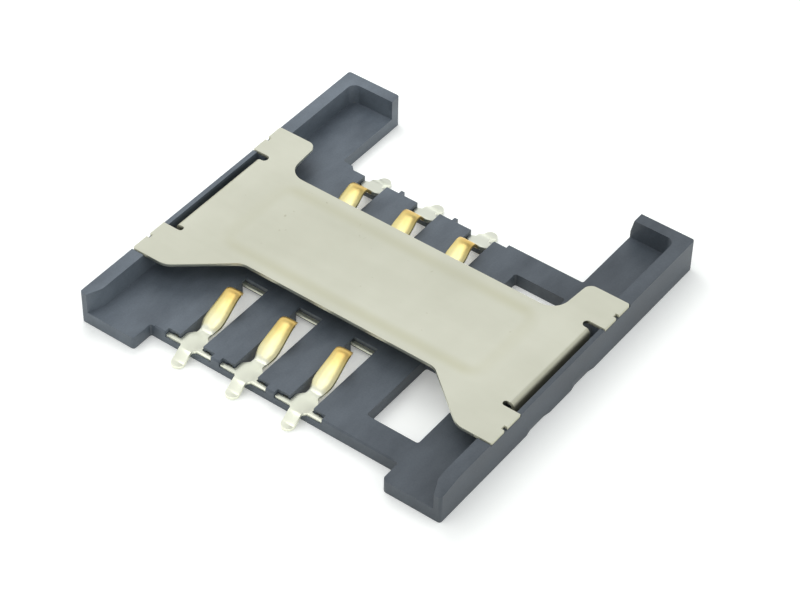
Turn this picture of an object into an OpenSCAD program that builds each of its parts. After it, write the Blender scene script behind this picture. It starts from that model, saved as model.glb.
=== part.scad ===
// SIM card socket: a moulded housing, a folded sheet cover and stamped spring contacts in two rows.
// The card goes in from the front (-Y) and stops against the walls on the rear arms.
// Distances along Y are measured from the housing's front edge; +Z is up from the circuit board.

/* [Housing] */
// Width over the side walls
body_w = 16.34; // [15.9:0.02:17]
// Length from the front lobes to the ends of the rear arms
body_l = 16.2; // [15.6:0.05:17]
// Thickness of the floor
floor_t = 0.57; // [0.5:0.01:0.65]
// Height of the card slot, from the floor to the cover
card_gap = 0.8; // [0.78:0.01:0.95]
// Rise of the side walls above the cover's underside
wall_lip = 0.1; // [0.06:0.01:0.14]
// Thickness of the side walls
side_wall = 0.57; // [0.5:0.01:0.62]
// Thickness left in the side walls beside the cover's flanges
thin_wall = 0.2; // [0.14:0.01:0.22]
// Thickness of the card stops on the rear arms
stop_wall = 0.5; // [0.4:0.05:0.8]
// Slope of the right stop's free end, measured across
stop_slope = 0.13; // [0.05:0.01:0.3]
// Upright part below that slope, above the floor
stop_land = 0.3; // [0.1:0.02:0.5]
// Width of each front lobe
lobe_w = 2.52; // [2.2:0.01:2.6]
// Width of each rear arm
arm_w = 2.52; // [2.2:0.01:2.6]
// Setback of the deck's front edge behind the lobes
front_inset = 0.97; // [0.75:0.02:1.15]
// Distance from the front edge to the deck's rear edge
deck_rear = 12.51; // [12.35:0.02:12.85]
// Depth of the cut between the small stops along the deck's rear edge
comb_cut = 0.18; // [0.1:0.01:0.24]
// Width of each small stop along the deck's rear edge
comb_w = 0.16; // [0.1:0.02:0.3]
// Radius of the housing's outer corners
corner_r = 0.12; // [0.05:0.01:0.3]
// Radius of the right lobe's free corner
lobe_r = 0.2; // [0.05:0.01:0.4]
// Radius of the inner corners of the bays
bay_r = 0.08; // [0.02:0.02:0.3]
// Radius in the corners behind the card stops
pocket_r = 0.35; // [0.1:0.05:0.6]
// Length of the lead-in taper at the front of the side walls
lead_l = 0.62; // [0.4:0.02:1.2]
// Width of the lead-in taper
lead_w = 0.26; // [0.05:0.01:0.3]
// Length of the slope on top of the right wall's front end
slope_l = 1.05; // [0.6:0.05:1.6]
// Fall of that slope at the front edge
slope_d = 0.2; // [0.05:0.01:0.3]
// Chamfer along the deck's front edge
edge_chamfer = 0.06; // [0.02:0.01:0.12]
// Depth of the hollows low on the outer faces, beside the cover's legs
hollow_d = 0.06; // [0.02:0.01:0.1]
// Height of those hollows
hollow_h = 0.45; // [0.3:0.01:0.48]
// Length of the run-out at both ends of those hollows
hollow_run = 0.3; // [0.1:0.02:0.45]

/* [Windows] */
// Distance from the last contact column to the windows
window_gap = 2.2; // [2:0.02:2.4]
// Width of the windows
window_w = 2.26; // [1.8:0.02:2.4]
// Front edge of the front window
window_front = 2.14; // [1.9:0.02:2.6]
// Rear edge of the rear window
window_rear = 11.35; // [11:0.05:11.5]
// Length of each window
window_l = 3.6; // [2.5:0.1:4]
// Corner radius of the windows
window_r = 0.1; // [0.02:0.02:0.3]

/* [Cover] */
// Thickness of the sheet
sheet_t = 0.15; // [0.12:0.01:0.18]
// Front edge of the band
band_front = 4.77; // [4.6:0.01:4.8]
// Rear edge of the band
band_rear = 9.79; // [9.7:0.01:9.9]
// Front edge of the front tabs
front_tab_a = 2.95; // [2.6:0.05:3.2]
// Rear edge of the front tabs
front_tab_b = 4.73; // [4.65:0.02:4.9]
// Front edge of the rear tabs
rear_tab_a = 10.09; // [9.95:0.02:10.2]
// Rear edge of the rear tabs
rear_tab_b = 11.74; // [11.4:0.02:11.9]
// Gap between the tabs' ends and the housing's outer faces
tab_inset = 0.01; // [0:0.01:0.06]
// Distance from the outer face to the tabs' inner corners at the front
front_tab_w = 1.52; // [1.3:0.02:1.8]
// Distance from the outer face to the tabs' inner corners at the rear
rear_tab_w = 1.79; // [1.6:0.01:1.9]
// Distance from the outer face to where the front edge starts to flare
flare_w = 3.77; // [3.4:0.01:4.2]
// Distance from the outer face to where the rear edge turns into the tabs
rear_turn_w = 1.95; // [1.9:0.01:2.3]
// Width of the relief slits between the front tabs and the flanges
front_slit_w = 0.24; // [0.2:0.01:0.3]
// Width of the relief slits between the flanges and the rear tabs
rear_slit_w = 0.34; // [0.24:0.01:0.4]
// Length of the relief slits from the outer face
slit_l = 0.84; // [0.78:0.01:0.9]
// Inner radius of the flange's bend
bend_r = 0.06; // [0.03:0.01:0.12]
// Gap between the flange and the thin part of the side wall
flange_gap = 0.23; // [0.2:0.01:0.3]
// Gap between the flange's lower edge and the floor
flange_lift = 0.06; // [0.03:0.01:0.15]
// Length of each leg that goes down into the floor
leg_l = 1.45; // [1:0.05:1.6]
// Setback of the legs from the ends of the flange
leg_set = 0.25; // [0.1:0.05:0.4]
// Height of the legs' ends above the board
leg_lift = 0.1; // [0.05:0.01:0.2]
// Clearance around the legs, tabs and flanges
fit = 0.03; // [0.01:0.01:0.05]
// Width of the notch in the end of each tab
notch_w = 0.2; // [0.1:0.02:0.3]
// Depth of the notch in the end of each tab
notch_d = 0.14; // [0.06:0.02:0.2]
// Front edge of the sunk panel
panel_front = 5.0; // [4.9:0.05:5.4]
// Rear edge of the sunk panel
panel_rear = 9.0; // [8.6:0.05:9.2]
// Width of the sunk panel
panel_w = 12; // [11:0.1:12.6]
// Depth of the sunk panel
panel_d = 0.03; // [0.01:0.01:0.05]
// Width of the slope round the sunk panel
panel_slope = 0.4; // [0.2:0.05:0.6]

/* [Contacts] */
// Spacing of the contact columns
pitch = 2.54; // [2.5:0.01:2.58]
// Place of the middle column across the housing
middle_x = -1.36; // [-1.5:0.02:-1.2]
// Thickness of the contact strip
strip_t = 0.12; // [0.1:0.01:0.13]
// Depth of the shelves that the contact bodies lie on
shelf_drop = 0.27; // [0.24:0.01:0.3]
// Width of the solder tails
tail_w = 0.54; // [0.44:0.02:0.62]
// Length of the front tails beyond the deck
front_tail = 0.8; // [0.5:0.02:0.8]
// Length of the rear tails beyond the deck
rear_tail = 0.82; // [0.6:0.02:0.9]
// Length of the foot that lies on the board
foot_l = 0.28; // [0.15:0.01:0.3]
// Width of the contact bodies
pad_w = 1; // [0.9:0.02:1.04]
// Length of the contact bodies behind the deck's edge
pad_l = 0.72; // [0.6:0.02:0.78]
// Span of the arms beside the front contact bodies
wing_span = 2.1; // [1.9:0.05:2.2]
// Width of the arms beside the front contact bodies
wing_w = 0.15; // [0.12:0.01:0.3]
// Distance from the deck's front edge to the arms
wing_set = 0.05; // [0.02:0.01:0.1]
// Width of the neck between body and spring
neck_w = 0.5; // [0.44:0.02:0.64]
// Greatest width of the front springs
front_blade_w = 0.82; // [0.76:0.02:0.96]
// Greatest width of the rear springs
rear_blade_w = 0.82; // [0.7:0.02:0.96]
// Width of the front springs at the crest
front_crest_w = 0.66; // [0.45:0.02:0.7]
// Width of the rear springs at the crest
rear_crest_w = 0.7; // [0.6:0.02:0.8]
// Width of the springs at their tips
tip_w = 0.4; // [0.3:0.02:0.5]
// Span of the rear springs' cross bars
bar_span = 1; // [0.9:0.02:1.04]
// Width of the cross bars
bar_w = 0.15; // [0.12:0.01:0.2]
// Place of the front crests
front_crest = 3.64; // [3.56:0.02:3.8]
// Place of the rear crests
rear_crest = 11.15; // [11.05:0.02:11.25]
// Rise of the front crests above the floor
front_rise = 0.64; // [0.5:0.01:0.7]
// Rise of the rear crests above the floor
rear_rise = 0.53; // [0.46:0.01:0.6]
// Bend radius at the crests
crest_r = 0.28; // [0.2:0.02:0.34]
// Slope of the front ramps, which meet the card
front_ramp = 28; // [26.5:0.5:30]
// Slope of the rear ramps
rear_ramp = 28.5; // [27:0.5:31]
// Slope behind the crests
fall_angle = 49; // [46:0.5:54]
// Height of the ridge along the spring
crown_h = 0.08; // [0.02:0.01:0.1]
// Clearance around the contacts in the housing
play = 0.03; // [0.02:0.005:0.04]
// Depth of the rear cross bars' tops below the floor's top
bar_drop = 0.12; // [0.08:0.01:0.18]
// Distance from the foot of the slope to the rear cross bar
bar_run = 0.18; // [0.1:0.01:0.2]
// Fall of the front springs' free tips below their crests
tip_fall = 0.2; // [0.16:0.02:0.3]
// Rear edge of the frames round the front springs
frame_rear = 4.97; // [4.9:0.01:5.04]
// Width of the rails that join these frames to the arms
rail_w = 0.14; // [0.12:0.01:0.18]
// Wall between a front slot and the rails beside it
rail_gap = 0.12; // [0.08:0.01:0.14]

/* [Hidden] */
$fn = 48;

PLASTIC = [0.29, 0.31, 0.35];
NICKEL = [0.82, 0.82, 0.76];
GOLD = [0.90, 0.78, 0.42];

// Overrun of cutting shapes past the faces they cut
over = 0.5;
// Distance that keeps a cut clear of the fillet beside it, or takes a joint inside the material
lap = 0.1;
// Distance by which the hollows' faces run past the outer faces
hollow_over = 0.02;
// Segments in a rounded corner
corner_steps = 8;

half_w = body_w / 2;
cover_z = floor_t + card_gap;
wall_h = cover_z + wall_lip;
wall_in = half_w - side_wall;
lobe_x = half_w - lobe_w;
arm_x = half_w - arm_w;
flange_out = half_w - thin_wall - flange_gap;
flange_in = flange_out - sheet_t;
bend_x = flange_in - bend_r;
flange_a = front_tab_b + front_slit_w;
flange_b = rear_tab_a - rear_slit_w;
front_slit_y = front_tab_b + front_slit_w / 2;
rear_slit_y = rear_tab_a - rear_slit_w / 2;
tab_end = half_w - tab_inset;
column_x = [for (i = [-1:1]) middle_x + i * pitch];
window_x = column_x[2] + window_gap;

shelf_z = floor_t - shelf_drop;
pad_z = shelf_z + strip_t / 2;
foot_z = strip_t / 2;
bar_z = floor_t - bar_drop - strip_t / 2;
slot_w = max(pad_w, bar_span) + 2 * play;
frame_in = slot_w / 2 + rail_gap + play;
wing_a = front_inset + wing_set;
wing_b = wing_a + wing_w;
comb_rear = deck_rear - comb_cut;

// Corner of a ramp and the slope behind it, as [y, z], from the crest that their bend makes
function peak(crest, rise, ramp) =
    let(ahead = [-cos(ramp), -sin(ramp)],
        behind = [cos(fall_angle), -sin(fall_angle)])
    [crest, floor_t + rise - strip_t / 2 - crest_r]
        - unit(ahead + behind) * crest_r / sin(acos(ahead * behind) / 2);
function ramp_y(peak, ramp, z) = peak.x - (peak.y - z) / tan(ramp);
function fall_y(peak, z) = peak.x + (peak.y - z) / tan(fall_angle);
front_peak = peak(front_crest, front_rise, front_ramp);
rear_peak = peak(rear_crest, rear_rise, rear_ramp);

// Depth of the dip between a front body and its ramp
pad_dip = 0.02;
// Distance from the end of a front shelf to the end of the body above it
shelf_short = 0.15;
// Distance from the deck's edge to the bend where a tail turns down
tail_lead = 0.12;
// Bend radii: tails, the two ends of a front dip, and the foot of a rear ramp
tail_bend = 0.16;
body_bend = 0.3;
dip_bend = 0.25;
ramp_bend = 0.15;
front_tip = front_inset - front_tail;
rear_tip = comb_rear + rear_tail;
pad_rear = front_inset + pad_l;
dip_z = pad_z - pad_dip;
front_foot = ramp_y(front_peak, front_ramp, dip_z);
tip_z = floor_t + front_rise - strip_t / 2 - tip_fall;
front_end = fall_y(front_peak, tip_z);
rear_foot = ramp_y(rear_peak, rear_ramp, bar_z);
rear_bar = rear_foot - bar_run - bar_w;
rear_pad = fall_y(rear_peak, pad_z);

// Side view of a front contact along its middle surface: tail, body, ramp, crest and free tip
front_path = rounded([
    [front_tip, foot_z, 0],
    [front_tip + foot_l, foot_z, tail_bend],
    [front_inset - tail_lead, pad_z, tail_bend],
    [pad_rear, pad_z, body_bend],
    [front_foot, dip_z, dip_bend],
    [front_peak.x, front_peak.y, crest_r],
    [front_end, tip_z, 0]]);

// Side view of a rear contact: tip, ramp, crest, body and tail
rear_path = rounded([
    [rear_bar, bar_z, 0],
    [rear_foot, bar_z, ramp_bend],
    [rear_peak.x, rear_peak.y, crest_r],
    [rear_pad, pad_z, tail_bend],
    [comb_rear + tail_lead, pad_z, tail_bend],
    [rear_tip - foot_l, foot_z, tail_bend],
    [rear_tip, foot_z, 0]]);

function unit(v) = v / norm(v);
function clamped(k) = max(0, min(1, k));
function smooth(a, b, x) = let(k = clamped((x - a) / (b - a))) k * k * (3 - 2 * k);
function turn(a) = a > 180 ? a - 360 : a < -180 ? a + 360 : a;
function place(p) = [p.x, p.y];

// Arc that rounds the corner b between a and c with radius r
function corner_arc(a, b, c, r) =
    r <= 0 ? [b] :
    let(u = unit(a - b),
        v = unit(c - b),
        half = acos(u * v) / 2,
        centre = b + unit(u + v) * r / sin(half),
        start = b + u * r / tan(half) - centre,
        stop = b + v * r / tan(half) - centre,
        from = atan2(start.y, start.x),
        sweep = turn(atan2(stop.y, stop.x) - from))
    [for (k = [0:corner_steps]) let(t = from + sweep * k / corner_steps) centre + r * [cos(t), sin(t)]];

// Outline through points [x, y, radius], each corner rounded by its own radius
function rounded(points) =
    let(n = len(points))
    [for (i = [0:n - 1])
        let(before = points[(i + n - 1) % n],
            after = points[(i + 1) % n])
        each corner_arc(place(before), place(points[i]), place(after), points[i].z)];

function mirrored(points) = [for (i = [len(points) - 1:-1:0]) [-points[i].x, points[i].y, points[i].z]];

// Evenly spaced values from a up to, but without, b
function span(a, b, n) = [for (i = [0:n - 1]) a + (b - a) * i / n];

// Width left at the very tip of a round tail
tip_flat = 0.04;
// Width of a tail with a round end, at the distance d from its tip
function tail_width(d) =
    let(r = tail_w / 2)
    d >= r ? tail_w : max(tip_flat, 2 * sqrt(max(0, r * r - (r - d) * (r - d))));

// Moves the part from its front edge to the middle of its footprint
module centred() {
    translate([0, -body_l / 2, 0])
        children();
}

module both_sides() {
    children();
    mirror([1, 0, 0])
        children();
}

// Plan of the floor, with the bay between the front lobes and the bay between the rear arms
module floor_plan() {
    polygon(rounded([
        [-half_w, 0, corner_r], [-lobe_x, 0, corner_r], [-lobe_x, front_inset, bay_r],
        [lobe_x, front_inset, bay_r], [lobe_x, 0, lobe_r], [half_w, 0, corner_r],
        [half_w, body_l, corner_r], [arm_x, body_l, corner_r], [arm_x, deck_rear, bay_r],
        [-arm_x, deck_rear, bay_r], [-arm_x, body_l, corner_r], [-half_w, body_l, corner_r]]));
}

// Plan of the right side wall with its lead-in taper, and of the card stop across the arm
module side_plan() {
    stop_y = body_l - stop_wall;
    polygon(rounded([
        [wall_in + lead_w, 0, 0], [half_w, 0, corner_r],
        [half_w, body_l, corner_r], [arm_x, body_l, corner_r],
        [arm_x, stop_y, 0], [wall_in, stop_y, pocket_r], [wall_in, lead_l, 0]]));
}

// Cut that slopes the free end of the right card stop
module stop_bevel() {
    rise = wall_h - floor_t - stop_land;
    high = rise + over;
    lean = stop_slope / rise;
    translate([arm_x, body_l + over, floor_t + stop_land])
        rotate([90, 0, 0])
            linear_extrude(stop_wall + 2 * over)
                polygon([[-lap * lean, -lap], [high * lean, high], [-over, high], [-over, -lap]]);
}

// Cut that slopes the top of the right wall down to the front edge
module wall_slope() {
    lean = slope_d / slope_l;
    front_z = wall_h - slope_d;
    translate([wall_in - over, 0, 0])
        rotate([90, 0, 90])
            linear_extrude(side_wall + 2 * over)
                polygon([[-over, front_z - over * lean], [slope_l + over, wall_h + over * lean],
                         [slope_l + over, wall_h + over], [-over, wall_h + over]]);
}

module walls() {
    difference() {
        both_sides()
            linear_extrude(wall_h)
                side_plan();
        stop_bevel();
        wall_slope();
    }
}

// Room for the cover on the right side: seats for the tabs, a groove for the flange, slots for its legs
module cover_room() {
    for (tab = [[front_tab_a, front_tab_b], [rear_tab_a, rear_tab_b]])
        translate([wall_in - over, tab[0] - fit, cover_z])
            cube([side_wall + 2 * over, tab[1] - tab[0] + 2 * fit, wall_lip + over]);
    translate([wall_in - over, front_tab_b, floor_t])
        cube([side_wall + over - thin_wall, rear_tab_a - front_tab_b, card_gap + wall_lip + over]);
    for (y = leg_places())
        translate([flange_in - fit, y - fit, -over])
            cube([sheet_t + 2 * fit, leg_l + 2 * fit, floor_t + 2 * over]);
}

function leg_places() = [flange_a + leg_set, flange_b - leg_set - leg_l];

// Shallow hollow low on the right wall's outer face, beside a leg, that runs out at both ends and upwards
module leg_hollow(y) {
    deep = hollow_d + hollow_over;
    run = hollow_run / hollow_d;
    rise = hollow_h / hollow_d;
    translate([half_w, y, 0])
        intersection() {
            translate([0, -over, 0])
                rotate([-90, 0, 0])
                    linear_extrude(leg_l + 2 * over)
                        polygon([[lap, hollow_over * rise],
                                 [-deep, hollow_over * rise],
                                 [lap, -(hollow_d + lap) * rise]]);
            translate([0, 0, -over])
                linear_extrude(hollow_h + 2 * over)
                    polygon([[hollow_over, -hollow_over * run], [-deep, deep * run],
                             [-deep, leg_l - deep * run], [hollow_over, leg_l + hollow_over * run]]);
        }
}

module front_slot(x) {
    shelf_end = pad_rear - shelf_short;
    translate([x - slot_w / 2, front_inset - over, shelf_z])
        cube([slot_w, pad_l + 2 * over, floor_t]);
    translate([x - wing_span / 2 - play, front_inset - over, shelf_z])
        cube([wing_span + 2 * play, over + wing_set + wing_w + 2 * play, floor_t]);
    translate([x - slot_w / 2, shelf_end, -over])
        cube([slot_w, frame_rear + play - shelf_end, floor_t + 2 * over]);
    translate([x, 0, -over])
        linear_extrude(over + shelf_z + strip_t + play)
            frame_plan(wing_b, play);
}

// Plan of the frame round a front spring, two rails and a cross bar from y = root, widened by a clearance
module frame_plan(root, wide) {
    inner = frame_in - wide;
    outer = frame_in + rail_w + wide;
    bar_front = frame_rear - bar_w - wide;
    bar_rear = frame_rear + 2 * wide;
    polygon([[-outer, root], [-inner, root], [-inner, bar_front], [inner, bar_front],
             [inner, root], [outer, root], [outer, bar_rear], [-outer, bar_rear]]);
}

module rear_slot(x) {
    slot_rear = rear_pad + play;
    translate([x - slot_w / 2, slot_rear - over, shelf_z])
        cube([slot_w, deck_rear - slot_rear + 2 * over, floor_t]);
    translate([x - slot_w / 2, rear_bar - play, -over])
        cube([slot_w, slot_rear - rear_bar + play, floor_t + 2 * over]);
}

// Distance from a contact column to the small stop beside it
comb_set = 1.1;
// Distance from the first slot to the end of the cut between the small stops
comb_end = 0.57;

// Cut along the deck's rear edge, with a slanted start, that leaves a small stop beside each contact
module comb() {
    first = column_x[0] - slot_w / 2 - comb_end;
    last = column_x[2] + comb_set;
    difference() {
        translate([0, 0, -over])
            linear_extrude(floor_t + 2 * over)
                polygon([[first, comb_rear], [last, comb_rear], [last, deck_rear + lap],
                         [first - comb_cut - lap, deck_rear + lap]]);
        for (i = [0:1])
            translate([column_x[i] + comb_set, comb_rear - over, -2 * over])
                cube([comb_w, comb_cut + 2 * over, floor_t + 4 * over]);
    }
}

module window(y) {
    translate([window_x, y, -over])
        linear_extrude(floor_t + 2 * over)
            polygon(rounded([
                [0, 0, window_r], [window_w, 0, window_r],
                [window_w, window_l, window_r], [0, window_l, window_r]]));
}

module front_edge_chamfer() {
    edge_w = 2 * (lobe_x - bay_r - lap);
    translate([-edge_w / 2, front_inset, floor_t])
        rotate([90, 0, 90])
            linear_extrude(edge_w)
                polygon([[-over, -edge_chamfer - over], [edge_chamfer + over, over], [-over, over]]);
}

module housing() {
    color(PLASTIC)
        centred()
            difference() {
                union() {
                    linear_extrude(floor_t)
                        floor_plan();
                    walls();
                }
                both_sides() {
                    cover_room();
                    for (y = leg_places())
                        leg_hollow(y);
                }
                for (x = column_x) {
                    front_slot(x);
                    rear_slot(x);
                }
                comb();
                window(window_front);
                window(window_rear - window_l);
                front_edge_chamfer();
            }
}

// Corner radii of the cover: ends of the flare, ends of the tabs, inner corners and roots of the rear tabs
flare_r = 0.6;
flare_end_r = 0.9;
tab_r = 0.1;
rear_tab_r = 0.35;
rear_root_r = 0.75;

// Right half of the cover's outline, from the front edge round to the rear edge
cover_half = [
    [half_w - flare_w, band_front, flare_r],
    [half_w - front_tab_w, front_tab_a, flare_end_r],
    [tab_end, front_tab_a, tab_r],
    [tab_end, front_slit_y, 0],
    [bend_x - lap / 2, front_slit_y, 0],
    [bend_x - lap / 2, rear_slit_y, 0],
    [tab_end, rear_slit_y, 0],
    [tab_end, rear_tab_b, tab_r],
    [half_w - rear_tab_w, rear_tab_b, rear_tab_r],
    [half_w - rear_turn_w, band_rear, rear_root_r]];

// Relief slit from y = a to y = b, with a round inner end
module slit(a, b) {
    translate([half_w - slit_l + (b - a) / 2, (a + b) / 2]) {
        circle(d = b - a);
        translate([0, (a - b) / 2])
            square([slit_l + over, b - a]);
    }
}

module tab_notch(a, b) {
    translate([tab_end - notch_d, (a + b - notch_w) / 2])
        square([notch_d + over, notch_w]);
}

// Points inside the quarter turn of the flange's bend with radius r, from the sheet down to the upright
function bend_points(r) =
    [for (k = [1:corner_steps - 1])
        let(t = 90 * k / corner_steps)
        [bend_x + r * sin(t), cover_z - bend_r + r * cos(t)]];

// Section of the right flange: a piece of the sheet, the bend and the upright
module flange_section() {
    low = floor_t + flange_lift;
    inner = bend_points(bend_r);
    polygon(concat(
        [[bend_x - lap, cover_z + sheet_t], [bend_x, cover_z + sheet_t]],
        bend_points(bend_r + sheet_t),
        [[flange_out, cover_z - bend_r], [flange_out, low]],
        [[flange_in, low], [flange_in, cover_z - bend_r]],
        [for (i = [len(inner) - 1:-1:0]) inner[i]],
        [[bend_x, cover_z], [bend_x - lap, cover_z]]));
}

// Section of the sheet, wider than its outline
module sheet_section() {
    side = half_w + over;
    polygon([[-side, cover_z], [side, cover_z], [side, cover_z + sheet_t], [-side, cover_z + sheet_t]]);
}

// Section of the right flange's legs
module leg_section() {
    high = cover_z - bend_r - lap;
    polygon([[flange_out, high], [flange_out, leg_lift], [flange_in, leg_lift], [flange_in, high]]);
}

// A section in the plane of X and Z, drawn out from y = a to y = b
module along(a, b) {
    translate([0, b, 0])
        rotate([90, 0, 0])
            linear_extrude(b - a)
                children();
}

// Shallow recess in the cover's top, with a slope all round
module panel_recess() {
    top = cover_z + sheet_t;
    run = panel_slope / panel_d;
    wide = panel_w / 2 + lap * run;
    low = panel_w / 2 - 2 * panel_slope;
    intersection() {
        along(panel_front - over, panel_rear + over)
            polygon([[-wide, top + lap], [-low, top - 2 * panel_d],
                     [low, top - 2 * panel_d], [wide, top + lap]]);
        translate([-half_w, 0, 0])
            rotate([90, 0, 90])
                linear_extrude(body_w)
                    polygon([[panel_front - lap * run, top + lap],
                             [panel_front + panel_slope, top - panel_d],
                             [panel_rear - panel_slope, top - panel_d],
                             [panel_rear + lap * run, top + lap]]);
    }
}

module cover() {
    color(NICKEL)
        centred()
            difference() {
                union() {
                    intersection() {
                        linear_extrude(cover_z + sheet_t + over)
                            polygon(rounded(concat(cover_half, mirrored(cover_half))));
                        along(front_tab_a - over, rear_tab_b + over)
                            sheet_section();
                    }
                    both_sides() {
                        along(front_slit_y, rear_slit_y)
                            flange_section();
                        for (y = leg_places())
                            along(y, y + leg_l)
                                leg_section();
                    }
                }
                panel_recess();
                both_sides()
                    linear_extrude(cover_z + sheet_t + over) {
                        slit(front_tab_b, flange_a);
                        slit(flange_b, rear_tab_a);
                        tab_notch(front_tab_a, front_tab_b);
                        tab_notch(rear_tab_a, rear_tab_b);
                    }
            }
}

// Points across the strip, from its left edge to its right edge
strip_across = [-1, -0.65, -0.3, 0.3, 0.65, 1];
// Share of the strip's width that stays flat on top of a ridge
ridge_flat = 0.3;
// Height of a ridge across the strip, as a share of its full height
function ridge_share(s) = let(k = max(0, abs(s) - ridge_flat) / (1 - ridge_flat)) 1 - k * k;

// Formed strip: places along Y with the widths and ridge heights there, on the given side view
module formed_strip(path, places, widths, ridges) {
    n = len(places);
    m = len(strip_across);
    ring = 2 * m;
    reach = 0.01;
    points = [for (i = [0:n - 1])
        let(y = places[i],
            ahead = min(y + reach, places[n - 1]),
            behind = max(y - reach, places[0]),
            slope = unit([ahead - behind, lookup(ahead, path) - lookup(behind, path)]))
        for (k = [0:ring - 1])
            let(s = strip_across[k < m ? k : ring - 1 - k],
                lift = (k < m ? 0.5 : -0.5) * strip_t + ridges[i] * ridge_share(s))
            [s * widths[i] / 2, y - slope.y * lift, lookup(y, path) + slope.x * lift]];
    sides = [for (i = [0:n - 2], k = [0:ring - 1])
        let(a = i * ring + k,
            b = i * ring + (k + 1) % ring)
        each [[a, b + ring, b], [a, a + ring, b + ring]]];
    last = (n - 1) * ring;
    ends = [for (k = [0:m - 2])
        let(across = ring - 1 - k)
        each [[k, across - 1, across], [k, k + 1, across - 1],
              [last + k, last + across, last + across - 1], [last + k, last + across - 1, last + k + 1]]];
    polyhedron(points, concat(sides, ends), convexity = 6);
}

// Distance over which the strip's width steps out to the arms or a cross bar
step = 0.01;
// Places along a round tail, as shares of its radius from the tip
tail_shares = [0.01, 0.06, 0.15, 0.3, 0.5, 0.75];
// Shares of the ramps at which the front and the rear springs are widest
front_wide = 0.36;
rear_wide = 0.58;
// Radius between a front tail and the arms
tail_fillet = 0.18;
// Setback of the frame's faces inside the faces of the arms that it joins
frame_skim = 0.005;
// Lengths of the shoulder between a front body and its neck, before and after the body's end
shoulder_in = 0.17;
shoulder_out = 0.17;
// Length over which a rear neck widens to its body
rear_shoulder = 0.14;
// Length over which a rear body narrows to its tail
rear_taper = 0.14;
// Distance from a front body to the start of its spring's ridge
ridge_set = 0.25;
// Length over which the ridge of a spring rises from its start
ridge_run = 0.3;
// Distance before the crest at which the ridge starts to fade
ridge_fade = 0.1;

front_places = concat(
    [for (k = tail_shares) front_tip + k * tail_w / 2],
    span(front_tip + tail_w / 2, wing_a - tail_fillet, 6),
    span(wing_a - tail_fillet, wing_a - step, 6),
    [wing_a - step, wing_a, wing_b, wing_b + step],
    span(wing_b + lap, pad_rear, 6),
    span(pad_rear, front_crest - crest_r, 14),
    span(front_crest - crest_r, front_end, 12),
    [front_end]);

// Width of a front tail where it widens into the arms, at the distance d from the fillet's start
function fillet_width(d) = tail_w + 2 * (tail_fillet - sqrt(max(0, tail_fillet * tail_fillet - d * d)));

function front_width(y) =
    y < wing_a - tail_fillet ? tail_width(y - front_tip) :
    y < wing_a - step / 2 ? fillet_width(y - wing_a + tail_fillet) :
    y <= wing_b ? wing_span :
    let(neck = pad_rear + shoulder_out,
        wide = neck + front_wide * (front_crest - neck))
    pad_w
        - (pad_w - neck_w) * smooth(pad_rear - shoulder_in, neck, y)
        + (front_blade_w - neck_w) * smooth(neck, wide, y)
        - (front_blade_w - front_crest_w) * smooth(wide, front_crest, y)
        - (front_crest_w - tip_w) * smooth(front_crest, front_end, y);

function front_ridge(y) =
    crown_h
        * smooth(pad_rear + ridge_set, pad_rear + ridge_set + ridge_run, y)
        * (1 - smooth(front_crest - ridge_fade, front_crest + crest_r, y));

module front_contact(x) {
    color(GOLD)
        centred()
            translate([x, 0, 0]) {
                formed_strip(front_path, front_places,
                             [for (y = front_places) front_width(y)],
                             [for (y = front_places) front_ridge(y)]);
                translate([0, 0, shelf_z + frame_skim])
                    linear_extrude(strip_t - 2 * frame_skim)
                        frame_plan(wing_a + wing_w / 2, 0);
            }
}

rear_places = concat(
    [rear_bar, rear_bar + bar_w, rear_bar + bar_w + step],
    span(rear_bar + bar_w + lap, rear_crest - crest_r, 14),
    span(rear_crest - crest_r, rear_crest + crest_r, 8),
    span(rear_crest + crest_r, rear_pad, 5),
    span(rear_pad, rear_tip - tail_w / 2, 14),
    [rear_tip - tail_w / 2],
    [for (i = [len(tail_shares) - 1:-1:0]) rear_tip - tail_shares[i] * tail_w / 2]);

function rear_width(y) =
    y <= rear_bar + bar_w ? bar_span :
    y >= comb_rear ? tail_width(rear_tip - y) :
    let(root = rear_bar + bar_w,
        wide = root + rear_wide * (rear_crest - root))
    tip_w
        + (rear_blade_w - tip_w) * smooth(root, wide, y)
        - (rear_blade_w - rear_crest_w) * smooth(wide, rear_crest, y)
        - (rear_crest_w - neck_w) * smooth(rear_crest, rear_pad, y)
        + (pad_w - neck_w) * smooth(rear_pad, rear_pad + rear_shoulder, y)
        - (pad_w - tail_w) * smooth(comb_rear - rear_taper, comb_rear, y);

function rear_ridge(y) =
    crown_h
        * smooth(rear_bar + bar_w, rear_bar + bar_w + ridge_run, y)
        * (1 - smooth(rear_crest - ridge_fade, rear_crest + crest_r, y));

module rear_contact(x) {
    color(GOLD)
        centred()
            translate([x, 0, 0])
                formed_strip(rear_path, rear_places,
                             [for (y = rear_places) rear_width(y)],
                             [for (y = rear_places) rear_ridge(y)]);
}

housing();
cover();
front_contact(column_x[0]);  // front_contact_left
front_contact(column_x[1]);  // front_contact_middle
front_contact(column_x[2]);  // front_contact_right
rear_contact(column_x[0]);  // rear_contact_left
rear_contact(column_x[1]);  // rear_contact_middle
rear_contact(column_x[2]);  // rear_contact_right
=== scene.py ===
"""Studio scene of a low card socket: moulded housing, folded sheet cover and sprung contacts.

Every piece is in metres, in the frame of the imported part: X to the right, -Y towards the side where the card
goes in, Z up from the circuit board.
"""

from __future__ import annotations

import logging
import math
from dataclasses import dataclass
from enum import Enum
from typing import Callable, Iterable

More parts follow.
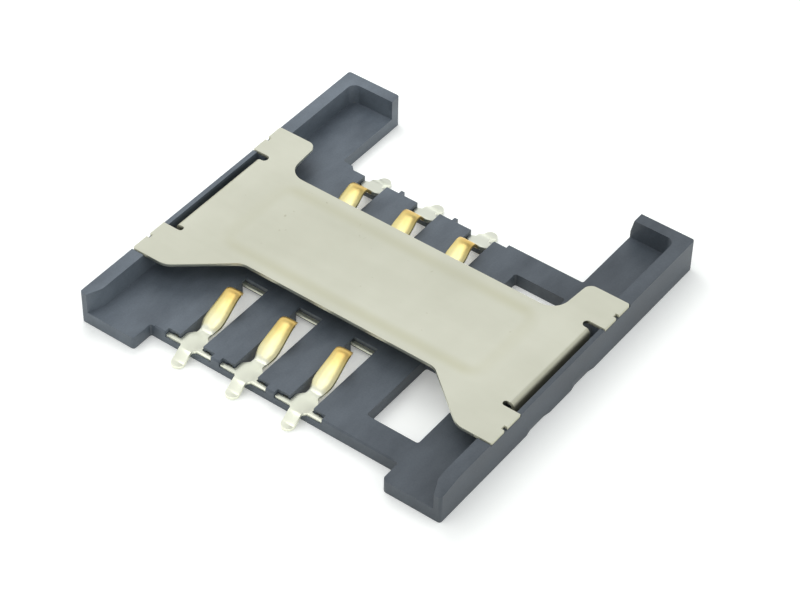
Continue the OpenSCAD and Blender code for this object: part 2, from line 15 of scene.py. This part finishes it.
import bpy
from mathutils import Euler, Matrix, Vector

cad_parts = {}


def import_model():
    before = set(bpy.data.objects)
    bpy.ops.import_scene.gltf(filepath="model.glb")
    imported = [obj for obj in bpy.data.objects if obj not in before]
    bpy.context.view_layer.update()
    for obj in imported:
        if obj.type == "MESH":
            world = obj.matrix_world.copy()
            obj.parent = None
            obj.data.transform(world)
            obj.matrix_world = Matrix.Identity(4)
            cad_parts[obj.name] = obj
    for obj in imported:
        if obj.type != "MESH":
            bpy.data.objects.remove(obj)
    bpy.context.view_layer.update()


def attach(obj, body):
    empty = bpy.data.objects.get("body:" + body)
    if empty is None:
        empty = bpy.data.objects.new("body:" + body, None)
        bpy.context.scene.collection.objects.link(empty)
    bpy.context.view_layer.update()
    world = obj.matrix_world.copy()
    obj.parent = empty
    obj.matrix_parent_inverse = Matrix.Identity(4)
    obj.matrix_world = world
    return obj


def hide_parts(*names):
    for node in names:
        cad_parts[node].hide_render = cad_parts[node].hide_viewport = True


LOG = logging.getLogger("card_socket")
MM = 0.001
BODY = "root"
MERGE_WITHIN = 0.0005 * MM
FLAT_WITHIN = math.radians(0.5)
ROUNDING_FACES = 2
LARGE_FACE_WEIGHT = 50
NOISE_ROUGHNESS = 0.55

Colour = tuple[float, float, float, float]
Axes = tuple[float, float, float]
Socket = bpy.types.NodeSocket


class Row(Enum):
    """The two rows of contacts."""

    FRONT = "front"
    REAR = "rear"


class Column(Enum):
    """The three columns of contacts."""

    LEFT = "left"
    MIDDLE = "middle"
    RIGHT = "right"


class Slot(Enum):
    """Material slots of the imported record."""

    PLASTIC = "plastic"
    NICKEL = "nickel"
    CONTACT = "contact"


@dataclass(frozen=True)
class Pattern:
    """A noise pattern: cycles per metre, octaves, and the factor on each axis before it is read."""

    scale: float
    detail: float
    stretch: Axes = (1.0, 1.0, 1.0)


@dataclass(frozen=True)
class Span:
    """Turns the values from low to high into the values from start to end, with eased ends if asked for."""

    low: float
    high: float
    start: float = 0.0
    end: float = 1.0
    eased: bool = False


class NodeGraph:
    """Builds a material's or world's node tree, one node at a time."""

    def __init__(self, tree: bpy.types.NodeTree) -> None:
        """Empties the tree.

        Args:
            tree: The node tree to fill.
        """
        self.tree = tree
        self.tree.nodes.clear()

    def add(self, kind: str, inputs: dict[str | int, object] | None = None,
            **settings: object) -> bpy.types.Node:
        """Adds one node, sets its properties and fills or links its inputs.

        Args:
            kind: The node's type name.
            inputs: Values or output sockets by input name or index.
            **settings: The node's own properties.

        Returns:
            The new node.
        """
        node = self.tree.nodes.new(kind)
        for name, value in settings.items():
            setattr(node, name, value)
        for name, value in (inputs or {}).items():
            if isinstance(value, Socket):
                self.tree.links.new(value, node.inputs[name])
            else:
                node.inputs[name].default_value = value
        return node

    def coords(self) -> Socket:
        """Adds a texture coordinate node and returns its object output."""
        return self.add("ShaderNodeTexCoord").outputs["Object"]

    def split(self, vector: Socket) -> tuple[Socket, Socket, Socket]:
        """Splits a vector into its parts.

        Args:
            vector: The vector's socket.

        Returns:
            Its X, Y and Z sockets.
        """
        parts = self.add("ShaderNodeSeparateXYZ", {0: vector}).outputs
        return parts[0], parts[1], parts[2]

    def ramp(self, factor: Socket, stops: Iterable[tuple[float, Colour]]) -> Socket:
        """Adds a colour ramp.

        Args:
            factor: The socket that drives the ramp.
            stops: Places from 0 to 1 with their colours.

        Returns:
            The ramp's colour output.
        """
        node = self.add("ShaderNodeValToRGB", {"Fac": factor})
        elements = node.color_ramp.elements
        listed = list(stops)
        elements[0].position, elements[0].color = listed[0]
        elements[1].position, elements[1].color = listed[-1]
        for place, colour in listed[1:-1]:
            element = elements.new(place)
            element.color = colour
        return node.outputs["Color"]

    def remap(self, value: Socket, span: Span) -> Socket:
        """Maps a value from one range to another.

        Args:
            value: The socket to map.
            span: Both ranges.

        Returns:
            The mapped value.
        """
        inputs = {0: value, 1: span.low, 2: span.high, 3: span.start, 4: span.end}
        node = self.add("ShaderNodeMapRange", inputs)
        node.interpolation_type = "SMOOTHSTEP" if span.eased else "LINEAR"
        return node.outputs[0]

    def math(self, operation: str, first: object, second: object = 0.0) -> Socket:
        """Adds a math node.

        Args:
            operation: The node's operation.
            first: First value or socket.
            second: Second value or socket, where the operation takes two.

        Returns:
            The result socket.
        """
        return self.add("ShaderNodeMath", {0: first, 1: second}, operation=operation).outputs[0]

    def noise(self, coords: Socket, pattern: Pattern) -> Socket:
        """Adds a noise pattern.

        Args:
            coords: Object coordinates.
            pattern: The pattern's measures.

        Returns:
            The pattern's value output.
        """
        placed = self.add("ShaderNodeMapping", {"Vector": coords, "Scale": pattern.stretch})
        return self.add("ShaderNodeTexNoise", {
            "Vector": placed.outputs[0], "Scale": pattern.scale, "Detail": pattern.detail,
            "Roughness": NOISE_ROUGHNESS}).outputs[0]

    def mix(self, share: object, first: object, second: object, blend: str = "MIX") -> Socket:
        """Mixes two colours.

        Args:
            share: Share of the second colour.
            first: First colour or socket.
            second: Second colour or socket.
            blend: Blend mode.

        Returns:
            The mixed colour.
        """
        node = self.add("ShaderNodeMix", {0: share, 6: first, 7: second}, data_type="RGBA", blend_type=blend)
        return node.outputs[2]

    def tint(self, colour: Socket, by: object, share: object = 1.0) -> Socket:
        """Multiplies a colour.

        Args:
            colour: The colour's socket.
            by: The colour, value or socket that it is multiplied by.
            share: How far that goes; 1 is all the way.

        Returns:
            The tinted colour.
        """
        return self.mix(share, colour, by, "MULTIPLY")

    def bump(self, height: Socket, strength: float, depth: float) -> Socket:
        """Adds a fine relief.

        Args:
            height: The pattern that gives the relief.
            strength: Share of the relief that shows.
            depth: The relief's depth in metres.

        Returns:
            The changed normal.
        """
        inputs = {"Strength": strength, "Distance": depth, "Height": height}
        return self.add("ShaderNodeBump", inputs).outputs[0]

    def surface(self, inputs: dict[str | int, object]) -> None:
        """Adds the surface shader and the material's output.

        Args:
            inputs: Values or sockets by the shader's input names.
        """
        shader = self.add("ShaderNodeBsdfPrincipled", inputs)
        self.add("ShaderNodeOutputMaterial", {"Surface": shader.outputs[0]})


def new_material(name: str) -> tuple[bpy.types.Material, NodeGraph]:
    """Makes an empty node material.

    Args:
        name: The material's name.

    Returns:
        The material and its graph.
    """
    material = bpy.data.materials.new(name)
    material.use_nodes = True
    return material, NodeGraph(material.node_tree)


@dataclass(frozen=True)
class SlatePlastic:
    """Glass-filled moulded plastic with flow marks and a fine satin grain.

    It is dark slate grey, with painted light that makes it paler to the left and darker to the right.
    """

    deep: Colour = (0.067, 0.083, 0.101, 1.0)
    pale: Colour = (0.127, 0.151, 0.176, 1.0)
    flow: Pattern = Pattern(520.0, 5.0, (1.6, 0.7, 1.0))
    flow_stops: tuple[float, float] = (0.30, 0.72)
    grain: Pattern = Pattern(14000.0, 3.0)
    speckle: Span = Span(0.3, 0.75, 0.92, 1.08)
    # Painted light: the colour is scaled up on the left and down on the right, as the light falls.
    painted_light_left_to_right: Span = Span(-8.0 * MM, 8.0 * MM, 1.26, 0.69)
    roughness: Span = Span(0.3, 0.7, 0.40, 0.54)
    grain_strength: float = 0.5
    grain_depth: float = 0.006 * MM
    refraction: float = 1.5

    def material(self) -> bpy.types.Material:
        """Builds the material and returns it."""
        material, graph = new_material("slate_plastic")
        coords = graph.coords()
        across, _, _ = graph.split(coords)
        flow = graph.noise(coords, self.flow)
        grain = graph.noise(coords, self.grain)
        slate = graph.ramp(flow, zip(self.flow_stops, (self.deep, self.pale)))
        speckle = graph.remap(grain, self.speckle)
        # Painted light, lighter on the left and darker on the right.
        painted_light_tone = graph.remap(across, self.painted_light_left_to_right)
        graph.surface({
            "Base Color": graph.tint(slate, graph.math("MULTIPLY", speckle, painted_light_tone)),
            "Roughness": graph.remap(flow, self.roughness),
            "IOR": self.refraction,
            "Normal": graph.bump(grain, self.grain_strength, self.grain_depth)})
        return material


@dataclass(frozen=True)
class NickelSheet:
    """Rolled sheet with a warm nickel plate, a cloudy sheen and a few specks.

    A band of painted shade runs round its sunk panel, its bent sides are matt, and painted shade darkens them
    lower down, beside the housing walls.
    """

    dull: Colour = (0.70, 0.695, 0.56, 1.0)
    clean: Colour = (0.78, 0.775, 0.64, 1.0)
    cloud: Pattern = Pattern(260.0, 4.0)
    cloud_stops: tuple[float, float] = (0.28, 0.70)
    cloud_roughness: Span = Span(0.3, 0.7, 0.36, 0.30)
    streak: Pattern = Pattern(900.0, 4.0, (0.12, 4.0, 1.0))
    streak_roughness: Span = Span(0.3, 0.7, -0.03, 0.05)
    streak_strength: float = 0.25
    streak_depth: float = 0.002 * MM
    speck: Pattern = Pattern(2600.0, 2.0)
    speck_edge: Span = Span(0.72, 0.80)
    speck_tint: Colour = (0.78, 0.76, 0.68, 1.0)
    panel_middle: float = -0.85 * MM
    panel_half: tuple[float, float] = (5.85 * MM, 1.90 * MM)
    panel_corner: float = 0.6 * MM
    border_reach: float = 0.45 * MM
    border_end_strength: float = 0.3
    border_patches: Span = Span(0.3, 0.6, 0.5, 1.0)
    # Painted shade along the sunk panel's border.
    border_shade_tint: Colour = (0.92, 0.91, 0.84, 1.0)
    bend_from: float = 7.45 * MM
    matt_heights: Span = Span(1.52 * MM, 1.505 * MM)
    matt_roughness: float = 0.4
    # Painted shade: the bent sides are darker lower down, beside the housing walls.
    lower_side_shade_heights: Span = Span(1.47 * MM, 1.37 * MM)
    lower_side_shade_tint: Colour = (0.60, 0.59, 0.56, 1.0)

    def border(self, graph: NodeGraph, coords: Socket) -> Socket:
        """Adds the mask of the painted shade along the panel's border, a rounded rectangle that is fainter at
        its two ends.

        Args:
            graph: The material's graph.
            coords: Object coordinates.

        Returns:
            The mask, 1 on the border's middle line.
        """
        x, y, _ = graph.split(coords)
        across = graph.math("ABSOLUTE", x)
        along = graph.math("ABSOLUTE", graph.math("SUBTRACT", y, self.panel_middle))
        past_end = graph.math("SUBTRACT", across, self.panel_half[0] - self.panel_corner)
        past_side = graph.math("SUBTRACT", along, self.panel_half[1] - self.panel_corner)
        corner_x = graph.math("MAXIMUM", past_end, 0.0)
        corner_y = graph.math("MAXIMUM", past_side, 0.0)
        square_x = graph.math("MULTIPLY", corner_x, corner_x)
        square_y = graph.math("MULTIPLY", corner_y, corner_y)
        outer = graph.math("SQRT", graph.math("ADD", square_x, square_y))
        inner = graph.math("MINIMUM", graph.math("MAXIMUM", past_end, past_side), 0.0)
        from_corner = graph.math("ADD", outer, inner)
        distance = graph.math("ABSOLUTE", graph.math("SUBTRACT", from_corner, self.panel_corner))
        line = graph.remap(distance, Span(0.0, self.border_reach, 1.0, 0.0, eased=True))
        fade = graph.remap(past_end, Span(0.0, self.panel_corner, 1.0, self.border_end_strength))
        return graph.math("MULTIPLY", line, fade)

    def bends(self, graph: NodeGraph, coords: Socket, heights: Span) -> Socket:
        """Adds a mask of the bent sides.

        Args:
            graph: The material's graph.
            coords: Object coordinates.
            heights: Where the mask starts and where it is full.

        Returns:
            The mask.
        """
        x, _, z = graph.split(coords)
        beside = graph.math("GREATER_THAN", graph.math("ABSOLUTE", x), self.bend_from)
        return graph.math("MULTIPLY", beside, graph.remap(z, heights))

    def material(self) -> bpy.types.Material:
        """Builds the material and returns it."""
        material, graph = new_material("nickel_sheet")
        coords = graph.coords()
        cloud = graph.noise(coords, self.cloud)
        streak = graph.noise(coords, self.streak)
        plate = graph.ramp(cloud, zip(self.cloud_stops, (self.dull, self.clean)))
        patches = graph.remap(cloud, self.border_patches)
        # Painted shade along the sunk panel's border, in patches.
        border = graph.math("MULTIPLY", self.border(graph, coords), patches)
        with_border_shade = graph.tint(plate, self.border_shade_tint, border)
        speck = graph.remap(graph.noise(coords, self.speck), self.speck_edge)
        specked = graph.tint(with_border_shade, self.speck_tint, speck)
        # Painted shade on the bent sides, darker lower down.
        lower_side_shade = self.bends(graph, coords, self.lower_side_shade_heights)
        matt = graph.math("MULTIPLY", self.bends(graph, coords, self.matt_heights), self.matt_roughness)
        rough_cloud = graph.remap(cloud, self.cloud_roughness)
        rough_top = graph.math("ADD", rough_cloud, graph.remap(streak, self.streak_roughness))
        graph.surface({
            "Base Color": graph.tint(specked, self.lower_side_shade_tint, lower_side_shade),
            "Metallic": 1.0,
            "Roughness": graph.math("ADD", rough_top, matt),
            "Normal": graph.bump(streak, self.streak_strength, self.streak_depth)})
        return material


@dataclass(frozen=True)
class PlatedContact:
    """Copper alloy strip with gold plate on the springs and pale tin on tails, bodies and frames.

    The gold lies between two places along Y in each row. Painted shade makes it deepest in colour at the
    crests, and a painted highlight makes it paler away from them. Each crest has its place along Y and the
    paleness of the gold there; 1 is the palest.
    """

    # The deep and pale golds serve as painted shade and painted highlight along the springs, and as random
    # cloud.
    gold_deep_and_shaded: Colour = (0.82, 0.57, 0.18, 1.0)
    gold: Colour = (0.94, 0.79, 0.33, 1.0)
    gold_pale_and_highlit: Colour = (0.95, 0.89, 0.55, 1.0)
    gold_stops: tuple[float, float, float] = (0.08, 0.40, 0.85)
    gold_cloud: Pattern = Pattern(1800.0, 4.0, (1.0, 0.5, 1.0))
    cloud_paleness: Span = Span(0.3, 0.7, -0.12, 0.12)
    front_gold: tuple[float, float] = (-5.95 * MM, -3.9 * MM)
    rear_gold: tuple[float, float] = (1.7 * MM, 3.55 * MM)
    gold_blur: float = 0.12 * MM
    # Painted shade at the crests, turning to a painted highlight further away.
    crests: tuple[tuple[float, float], ...] = ((-4.4 * MM, 0.0), (3.2 * MM, 0.05))
    crest_shade_reach: float = 1.5 * MM
    wobble: Pattern = Pattern(3000.0, 3.0)
    wobble_reach: Span = Span(0.3, 0.7, -0.05 * MM, 0.05 * MM)
    tin: Colour = (0.96, 0.97, 0.81, 1.0)
    # Painted shade: the rear row's tin is darker.
    shaded_rear_tin: Colour = (0.83, 0.84, 0.72, 1.0)
    tin_shade_front_to_rear: Span = Span(2.0 * MM, 4.0 * MM)
    grain: Pattern = Pattern(4000.0, 3.0, (2.0, 0.3, 1.0))
    grain_strength: float = 0.25
    grain_depth: float = 0.003 * MM
    tin_roughness: Span = Span(0.3, 0.7, 0.34, 0.44)
    gold_polish: float = 0.02

    def plated(self, graph: NodeGraph, along: Socket) -> Socket:
        """Adds the mask of the gold in both rows.

        Args:
            graph: The material's graph.
            along: The place along Y.

        Returns:
            The mask, 1 on gold and 0 on tin.
        """
        blur = self.gold_blur
        zones = []
        for start, stop in (self.front_gold, self.rear_gold):
            rise = graph.remap(along, Span(start - blur, start + blur, eased=True))
            fall = graph.remap(along, Span(stop - blur, stop + blur, 1.0, 0.0, eased=True))
            zones.append(graph.math("MULTIPLY", rise, fall))
        return graph.math("MAXIMUM", zones[0], zones[1])

    def paleness(self, graph: NodeGraph, along: Socket) -> Socket:
        """Adds the gold's paleness: painted shade at the crests and a painted highlight that grows away from
        them.

        Args:
            graph: The material's graph.
            along: The place along Y.

        Returns:
            The paleness.
        """
        crest_shades = []
        for crest, least in self.crests:
            away = graph.math("ABSOLUTE", graph.math("SUBTRACT", along, crest))
            crest_shades.append(graph.remap(away, Span(0.0, self.crest_shade_reach, least, 1.0)))
        return graph.math("MINIMUM", crest_shades[0], crest_shades[1])

    def material(self) -> bpy.types.Material:
        """Builds the material and returns it."""
        material, graph = new_material("plated_contact")
        coords = graph.coords()
        _, y, _ = graph.split(coords)
        shift = graph.remap(graph.noise(coords, self.wobble), self.wobble_reach)
        along = graph.math("ADD", y, shift)
        plated = self.plated(graph, along)
        cloud = graph.remap(graph.noise(coords, self.gold_cloud), self.cloud_paleness)
        # Painted shade at the crests and a painted highlight away from them, with random cloud.
        shade_highlight_and_cloud = graph.math("ADD", self.paleness(graph, along), cloud)
        gold = graph.ramp(shade_highlight_and_cloud, zip(self.gold_stops, (self.gold_deep_and_shaded, self.gold, self.gold_pale_and_highlit)))
        # Painted shade darkens the tin towards the rear row.
        tin = graph.mix(graph.remap(y, self.tin_shade_front_to_rear), self.tin, self.shaded_rear_tin)
        grain = graph.noise(coords, self.grain)
        rough_tin = graph.remap(grain, self.tin_roughness)
        polish = graph.math("MULTIPLY", plated, self.gold_polish)
        graph.surface({
            "Base Color": graph.mix(plated, tin, gold),
            "Metallic": 1.0,
            "Roughness": graph.math("SUBTRACT", rough_tin, polish),
            "Normal": graph.bump(grain, self.grain_strength, self.grain_depth)})
        return material


def deselect_all() -> None:
    """Leaves edit mode and deselects every object."""
    if bpy.context.object and bpy.context.object.mode != "OBJECT":
        bpy.ops.object.mode_set(mode="OBJECT")
    bpy.ops.object.select_all(action="DESELECT")


def make_active(piece: bpy.types.Object) -> None:
    """Selects one object alone and makes it active.

    Args:
        piece: The object to select.
    """
    deselect_all()
    piece.select_set(True)
    bpy.context.view_layer.objects.active = piece


def edit_all(piece: bpy.types.Object, operator: Callable[..., set[str]], **settings: float) -> None:
    """Runs one edit on a piece's whole mesh.

    Args:
        piece: The mesh to edit.
        operator: The mesh operator.
        **settings: The operator's settings.
    """
    make_active(piece)
    bpy.ops.object.mode_set(mode="EDIT")
    bpy.ops.mesh.select_all(action="SELECT")
    operator(**settings)
    bpy.ops.object.mode_set(mode="OBJECT")


def merged_copy(node: str, name: str) -> bpy.types.Object:
    """Copies a CAD node and joins its loose triangles into one skin.

    Args:
        node: The CAD node's name.
        name: The copy's name.

    Returns:
        The copy.
    """
    make_active(bpy.data.objects[node])
    bpy.ops.object.duplicate(linked=False)
    piece = bpy.context.object
    piece.name = name
    piece.data.name = name
    edit_all(piece, bpy.ops.mesh.remove_doubles, threshold=MERGE_WITHIN)
    return piece


def flatten_faces(piece: bpy.types.Object) -> None:
    """Joins triangles that lie in one plane.

    Args:
        piece: The mesh to clean.
    """
    edit_all(piece, bpy.ops.mesh.dissolve_limited, angle_limit=FLAT_WITHIN)


def round_edges(piece: bpy.types.Object, width: float, angle: float) -> None:
    """Rounds the sharp edges and applies the result.

    Args:
        piece: The mesh to round.
        width: Width of the rounding.
        angle: Edges sharper than this are rounded.
    """
    make_active(piece)
    bevel = piece.modifiers.new("edge_round", "BEVEL")
    bevel.width = width
    bevel.segments = ROUNDING_FACES
    bevel.limit_method = "ANGLE"
    bevel.angle_limit = angle
    bevel.use_clamp_overlap = True
    bevel.harden_normals = False
    bpy.ops.object.modifier_apply(modifier=bevel.name)


def shade_smooth(piece: bpy.types.Object, angle: float) -> None:
    """Shades a piece smooth, except across edges sharper than the angle, with flat faces kept flat.

    Args:
        piece: The mesh to shade.
        angle: Edges sharper than this stay hard.
    """
    make_active(piece)
    bpy.ops.object.shade_smooth_by_angle(angle=angle)
    weighted = piece.modifiers.new("flat_faces", "WEIGHTED_NORMAL")
    weighted.mode = "FACE_AREA"
    weighted.weight = LARGE_FACE_WEIGHT
    weighted.keep_sharp = True
    bpy.ops.object.modifier_apply(modifier=weighted.name)


def dress(piece: bpy.types.Object, material: bpy.types.Material) -> None:
    """Gives a piece one material.

    Args:
        piece: The mesh to dress.
        material: Its material.
    """
    piece.data.materials.clear()
    piece.data.materials.append(material)


def fit_to_frame(piece: bpy.types.Object, node: str) -> None:
    """Hides the CAD node that a piece takes the place of, and lets the piece ride on the socket's body.

    Args:
        piece: The finished piece.
        node: The CAD node that it takes the place of.
    """
    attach(piece, BODY)
    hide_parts(node)


@dataclass
class FlatSidedPart:
    """A part with flat sides: a CAD node's copy with whole faces, rounded edges and one finish."""

    node: str
    name: str
    slot: Slot
    finish: SlatePlastic | NickelSheet
    edge_radius: float
    edge_angle: float = math.radians(32)

    def build(self) -> bpy.types.Object:
        """Builds and dresses the part and returns it."""
        piece = merged_copy(self.node, self.name)
        flatten_faces(piece)
        round_edges(piece, self.edge_radius, self.edge_angle)
        shade_smooth(piece, self.edge_angle)
        dress(piece, self.finish.material())
        fit_to_frame(piece, self.node)
        return piece


@dataclass
class Housing(FlatSidedPart):
    """The moulded housing, with the small edge radii that a mould leaves."""

    node: str = "housing"
    name: str = "housing_moulding"
    slot: Slot = Slot.PLASTIC
    finish: SlatePlastic = SlatePlastic()
    edge_radius: float = 0.035 * MM


@dataclass
class Cover(FlatSidedPart):
    """The folded cover, with the slight rounding that stamping leaves on its edges."""

    node: str = "cover"
    name: str = "cover_sheet"
    slot: Slot = Slot.NICKEL
    finish: NickelSheet = NickelSheet()
    edge_radius: float = 0.02 * MM


@dataclass
class Contacts:
    """The stamped contacts of both rows."""

    finish: PlatedContact = PlatedContact()
    edge_radius: float = 0.015 * MM
    round_above: float = math.radians(60)
    hard_above: float = math.radians(40)

    def build_one(self, row: Row, column: Column, material: bpy.types.Material) -> bpy.types.Object:
        """Builds one contact.

        Args:
            row: Its row.
            column: Its column.
            material: The finish that all contacts share.

        Returns:
            The finished contact.
        """
        node = f"{row.value}_contact_{column.value}"
        piece = merged_copy(node, f"{row.value}_spring_{column.value}")
        round_edges(piece, self.edge_radius, self.round_above)
        shade_smooth(piece, self.hard_above)
        dress(piece, material)
        fit_to_frame(piece, node)
        return piece

    def build(self) -> list[bpy.types.Object]:
        """Builds all contacts and returns them."""
        material = self.finish.material()
        return [self.build_one(row, column, material) for row in Row for column in Column]


@dataclass(frozen=True)
class SoftLight:
    """A soft square light that faces the object.

    Its place and side are in metres and its power in watts. Metal shows it only where mirrored is true.
    """

    name: str
    place: Axes
    side: float
    power: float
    mirrored: bool = True

    def build(self) -> None:
        """Adds the light."""
        lamp = bpy.data.lights.new(self.name, "AREA")
        lamp.shape = "SQUARE"
        lamp.size = self.side
        lamp.energy = self.power
        holder = bpy.data.objects.new(self.name, lamp)
        holder.visible_glossy = self.mirrored
        holder.location = self.place
        holder.rotation_euler = (-Vector(self.place)).to_track_quat("-Z", "Y").to_euler()
        bpy.context.scene.collection.objects.link(holder)


@dataclass
class Studio:
    """Pale floor, white dome, soft lights from overhead and both sides, and the camera of the photograph.

    The dome's colours go from the horizon, 0, to overhead, 1. The camera's turn is in degrees, and its lens
    and sensor are in millimetres.
    """

    floor_size: float = 0.6
    floor_drop: float = 0.005 * MM
    floor_colour: Colour = (0.95, 0.965, 0.935, 1.0)
    floor_roughness: float = 0.9
    glow_colour: Colour = (1.0, 1.0, 1.0, 1.0)
    glow_strength: float = 0.21
    dome: tuple[tuple[float, Colour], ...] = (
        (0.0, (0.98, 1.00, 1.02, 1.0)),
        (0.45, (0.92, 0.94, 0.96, 1.0)),
        (0.72, (0.93, 0.95, 0.97, 1.0)),
        (0.90, (0.50, 0.51, 0.52, 1.0)),
        (1.0, (0.36, 0.37, 0.38, 1.0)))
    dome_left_to_right: Span = Span(-1.0, 1.0, 1.12, 0.70)
    dome_front_to_back: Span = Span(-1.0, 1.0, 0.78, 1.14)
    dome_strength: float = 0.95
    lights: tuple[SoftLight, ...] = (
        SoftLight("soft_top", (-0.026, -0.034, 0.115), 0.08, 0.028),
        SoftLight("near_left", (-0.024, 0.013, 0.034), 0.024, 0.0056, mirrored=False),
        SoftLight("low_right", (0.060, 0.004, 0.026), 0.03, 0.0060, mirrored=False))
    camera_place: Axes = (0.041626, -0.057366, 0.067658)
    camera_turn: Axes = (46.1629, -1.0438, 36.686)
    lens: float = 117.88
    sensor: float = 36.0
    nearest_view: float = 0.005
    farthest_view: float = 5.0

    def build_floor(self) -> None:
        """Adds the floor, which shows white to the camera and keeps the object's shadow."""
        deselect_all()
        bpy.ops.mesh.primitive_plane_add(size=self.floor_size, location=(0.0, 0.0, -self.floor_drop))
        floor = bpy.context.object
        floor.name = "studio_floor"
        bpy.ops.object.transform_apply(location=True)
        material, graph = new_material("floor_paper")
        path = graph.add("ShaderNodeLightPath")
        seen = graph.math("MAXIMUM", path.outputs["Is Camera Ray"], path.outputs["Is Glossy Ray"])
        seen = graph.math("MAXIMUM", seen, path.outputs["Is Transmission Ray"])
        graph.surface({
            "Base Color": self.floor_colour,
            "Roughness": self.floor_roughness,
            "Specular IOR Level": 0.0,
            "Emission Color": self.glow_colour,
            "Emission Strength": graph.math("MULTIPLY", seen, self.glow_strength)})
        dress(floor, material)

    def build_world(self) -> None:
        """Adds a soft white dome, darkest overhead and brighter to the left and at the back."""
        world = bpy.data.worlds.new("studio_dome")
        world.use_nodes = True
        bpy.context.scene.world = world
        graph = NodeGraph(world.node_tree)
        across, along, up = graph.split(graph.add("ShaderNodeTexCoord").outputs["Generated"])
        side = graph.remap(across, self.dome_left_to_right)
        depth = graph.remap(along, self.dome_front_to_back)
        lit = graph.tint(graph.ramp(up, self.dome), graph.math("MULTIPLY", side, depth))
        back = graph.add("ShaderNodeBackground", {"Color": lit, "Strength": self.dome_strength})
        graph.add("ShaderNodeOutputWorld", {"Surface": back.outputs[0]})

    def build_camera(self) -> None:
        """Adds the camera at the photograph's place and angle."""
        view = bpy.data.cameras.new("photo_camera")
        view.sensor_fit = "HORIZONTAL"
        view.sensor_width = self.sensor
        view.lens = self.lens
        view.clip_start = self.nearest_view
        view.clip_end = self.farthest_view
        holder = bpy.data.objects.new("photo_camera", view)
        holder.location = self.camera_place
        holder.rotation_euler = Euler([math.radians(angle) for angle in self.camera_turn])
        bpy.context.scene.collection.objects.link(holder)
        bpy.context.scene.camera = holder

    def build(self) -> None:
        """Builds floor, surroundings, lights and camera."""
        bpy.context.scene.view_settings.view_transform = "Standard"
        self.build_floor()
        self.build_world()
        for light in self.lights:
            light.build()
        self.build_camera()


def main() -> None:
    """Builds the socket and its studio."""
    logging.basicConfig(level=logging.INFO, format="%(name)s: %(message)s")
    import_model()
    Studio().build()
    pieces = [Housing().build(), Cover().build(), *Contacts().build()]
    for piece in pieces:
        LOG.info("%s: %d faces", piece.name, len(piece.data.polygons))
    deselect_all()


if __name__ == "__main__":
    main()
